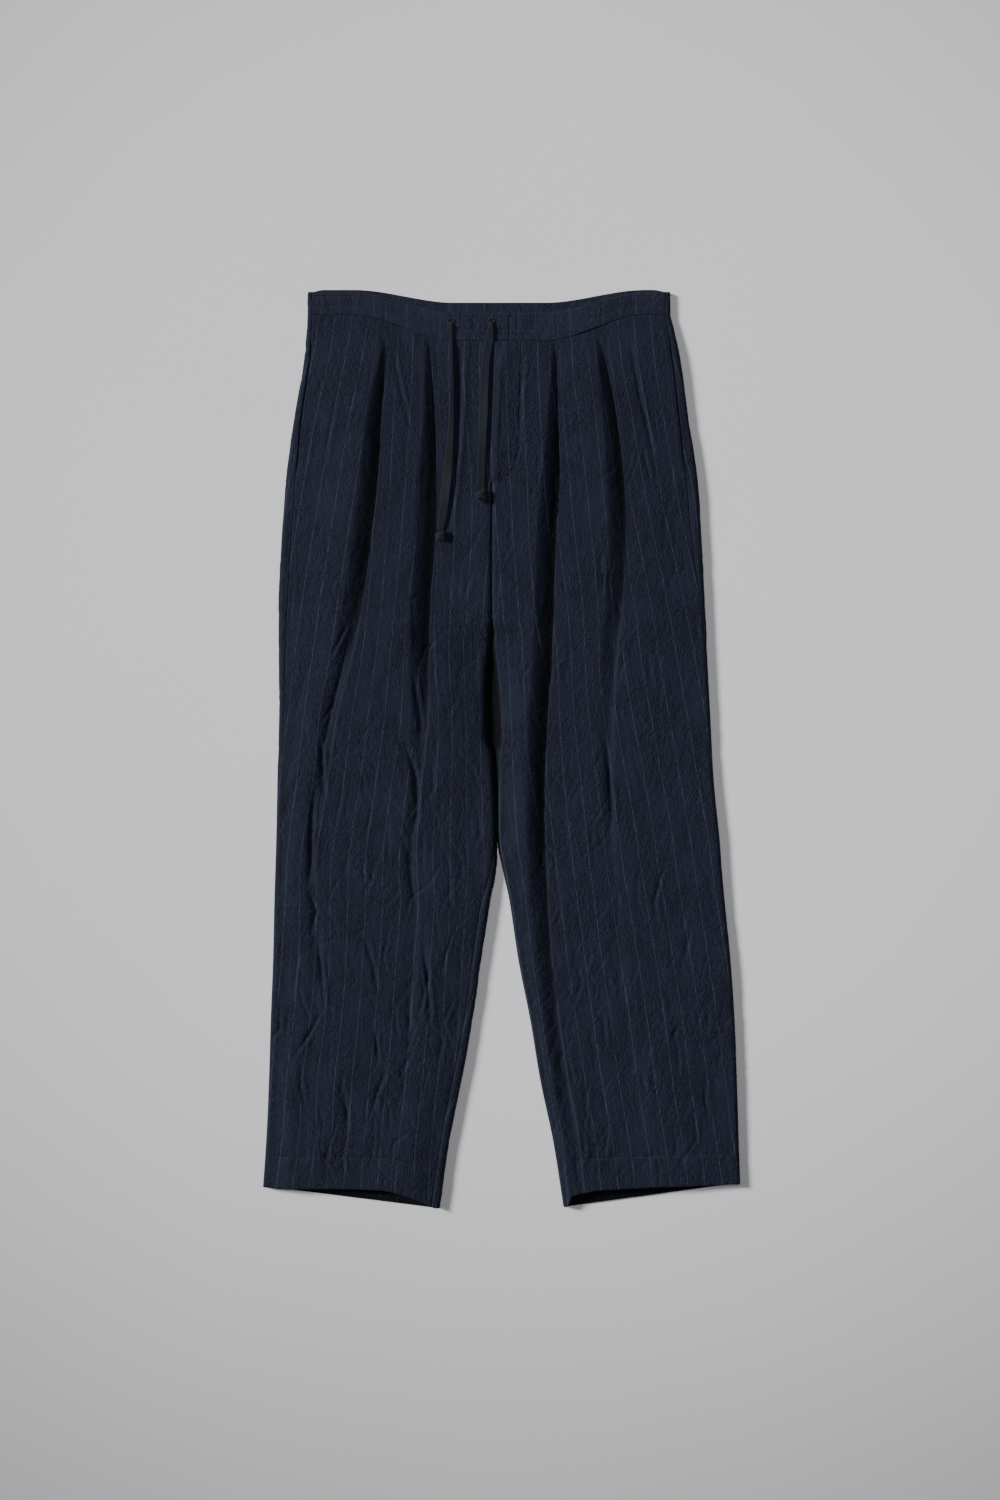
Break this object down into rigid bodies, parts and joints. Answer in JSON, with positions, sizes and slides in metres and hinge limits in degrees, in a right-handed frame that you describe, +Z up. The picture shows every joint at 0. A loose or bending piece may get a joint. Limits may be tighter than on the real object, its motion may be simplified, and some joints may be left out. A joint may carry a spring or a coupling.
{
  "type": "wool trousers",
  "caption": "Pleated dark wool trousers with faint chalk stripes and a drawcord waist, laid flat on their back with the legs side by side.",
  "frame": {"origin": "centre of the bounding box, at its bottom face: the surface that the trousers lie on", "axes": "+X to the wearer's left, +Y from the hems to the waist, +Z up from the surface, out of the front"},
  "size_m": [0.5241, 1.009, 0.025],
  "materials": {
    "wool": "washed and crumpled worsted wool, matt, with faint broken chalk stripes",
    "cotton_tape": "flat woven tape, matt",
    "eyelet_thread": "worked buttonhole thread, matt"
  },
  "bodies": {
    "root": {"right_front": "wool", "left_front": "wool", "right_back": "wool", "left_back": "wool", "waistband_front_right": "wool", "waistband_front_left": "wool", "waistband_back": "wool", "fly": "wool", "right_pocket_facing": "wool", "left_pocket_facing": "wool", "eyelet_right": "eyelet_thread", "eyelet_left": "eyelet_thread", "drawcord_right": "cotton_tape", "drawcord_left": "cotton_tape", "knot_right": "cotton_tape", "knot_left": "cotton_tape"}
  },
  "joints": []
}
